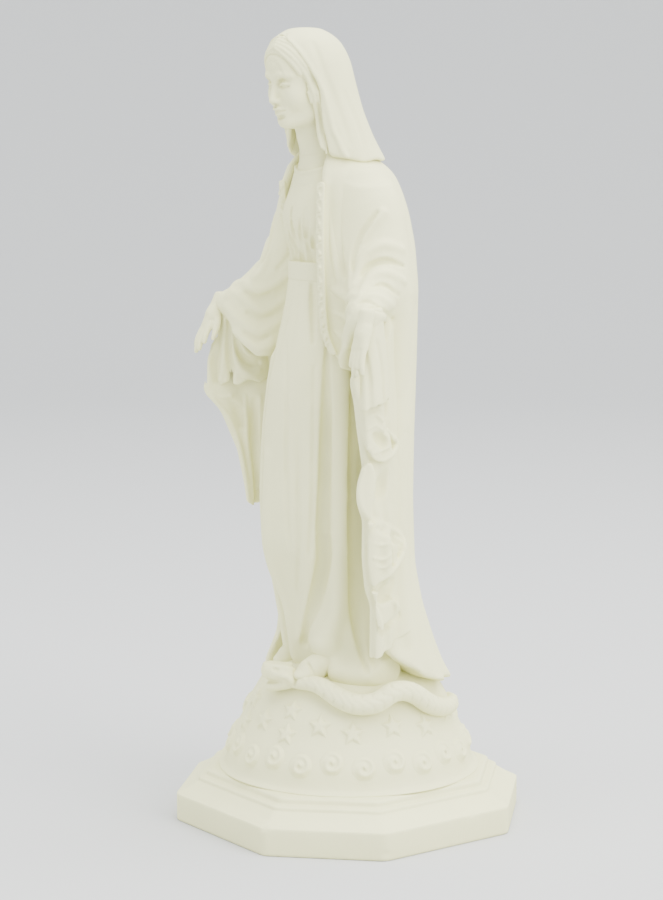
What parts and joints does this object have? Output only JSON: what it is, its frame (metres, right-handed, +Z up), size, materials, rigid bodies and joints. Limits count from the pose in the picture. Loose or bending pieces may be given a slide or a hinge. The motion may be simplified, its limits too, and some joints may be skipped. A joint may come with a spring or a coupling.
{
  "type": "standing madonna statue",
  "caption": "Cast plaster figure of a veiled woman with open hands, standing on a serpent and a starred globe over an octagonal moulded plinth.",
  "frame": {"origin": "middle of the plinth's underside, on the plane it stands on", "axes": "+Z up to the crown of the veil; the figure faces -Y, and her left hand is on +X"},
  "size_m": [0.122, 0.122, 0.3],
  "materials": {
    "plaster_plinth": "matte cream-white cast plaster, unpainted",
    "plaster_globe": "matte cream-white cast plaster, unpainted",
    "plaster_dress": "matte cream-white cast plaster, unpainted",
    "plaster_cloak": "matte cream-white cast plaster, unpainted",
    "plaster_skin": "matte cream-white cast plaster, unpainted",
    "felt": "green wool felt",
    "steel": "plain drawn steel"
  },
  "bodies": {
    "root": {"plinth": "plaster_plinth", "globe": "plaster_globe", "globe_stars": "plaster_globe", "cloud_curls": "plaster_globe", "serpent": "plaster_globe", "skirt": "plaster_dress", "bodice": "plaster_dress", "belt": "plaster_dress", "mantle": "plaster_cloak", "mantle_trim": "plaster_cloak", "right_sleeve": "plaster_cloak", "left_sleeve": "plaster_cloak", "right_cuff": "plaster_cloak", "left_cuff": "plaster_cloak", "right_cascade": "plaster_cloak", "left_cascade": "plaster_cloak", "veil": "plaster_cloak", "head": "plaster_skin", "hair": "plaster_skin", "right_hand": "plaster_skin", "left_hand": "plaster_skin", "right_foot": "plaster_skin", "left_foot": "plaster_skin", "felt_pad": "felt", "armature_rod": "steel", "right_hand_pin": "steel", "left_hand_pin": "steel"}
  },
  "joints": []
}
